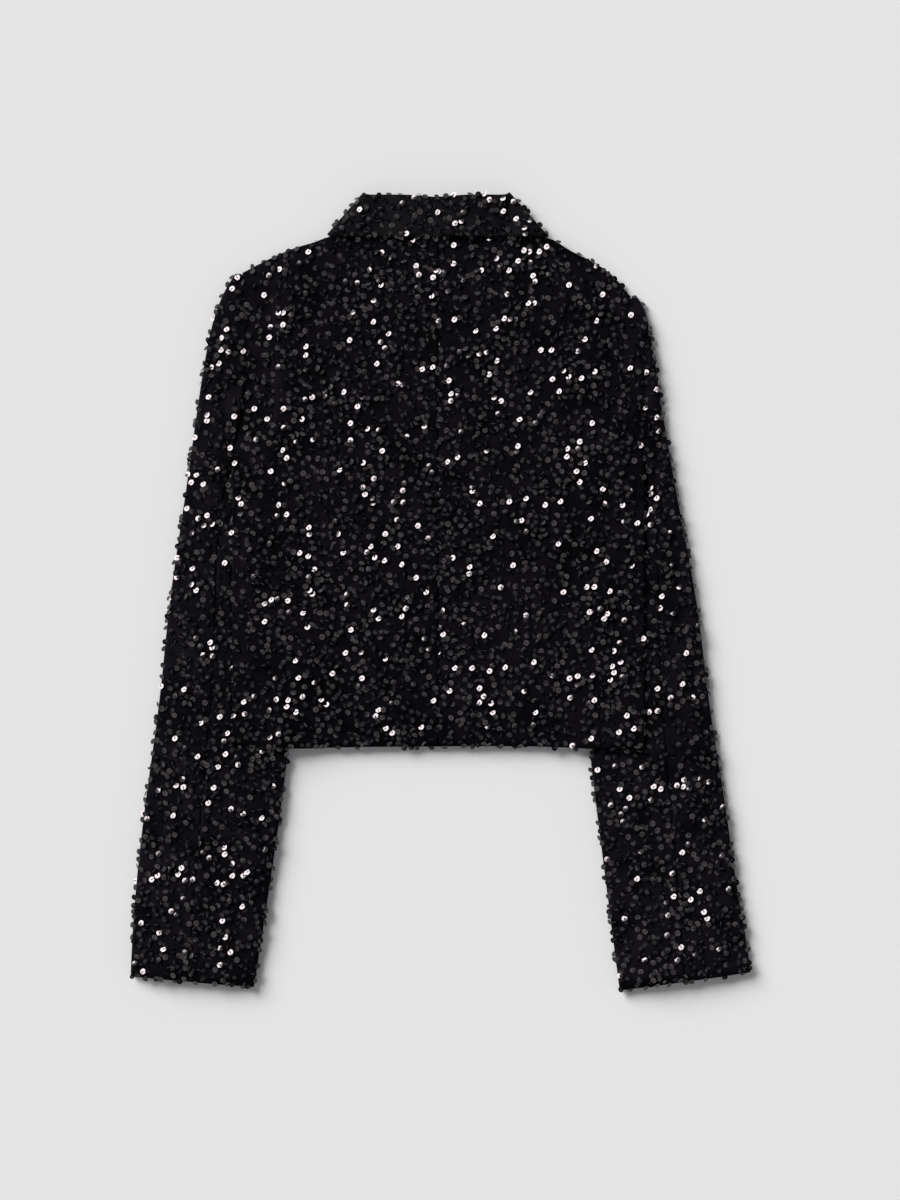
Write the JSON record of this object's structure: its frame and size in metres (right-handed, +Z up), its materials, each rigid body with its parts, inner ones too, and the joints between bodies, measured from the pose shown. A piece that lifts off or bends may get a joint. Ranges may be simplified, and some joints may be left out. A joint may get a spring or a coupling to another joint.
{
  "type": "cropped blazer laid flat face down",
  "caption": "Cropped collared blazer of sequinned black velvet, laid flat with its back up and its sleeves straight.",
  "frame": {"origin": "centre of the bounding box in plan, on the surface that the blazer rests on", "axes": "+Z up out of the back of the blazer, +Y towards its collar, +X towards the wearer's right sleeve"},
  "size_m": [0.557, 0.7164, 0.0134],
  "materials": {
    "body_cloth": "black velvet with loose round sequins",
    "front_cloth": "black velvet with loose round sequins",
    "sleeve_cloth": "black velvet with loose round sequins",
    "collar_cloth": "black velvet with loose round sequins"
  },
  "bodies": {
    "root": {"back_left": "body_cloth", "back_right": "body_cloth", "front_left": "front_cloth", "front_right": "front_cloth", "lapel_left": "front_cloth", "lapel_right": "front_cloth", "top_sleeve_left": "sleeve_cloth", "top_sleeve_right": "sleeve_cloth", "under_sleeve_left": "sleeve_cloth", "under_sleeve_right": "sleeve_cloth", "collar_fall": "collar_cloth", "collar_stand": "collar_cloth"}
  },
  "joints": []
}
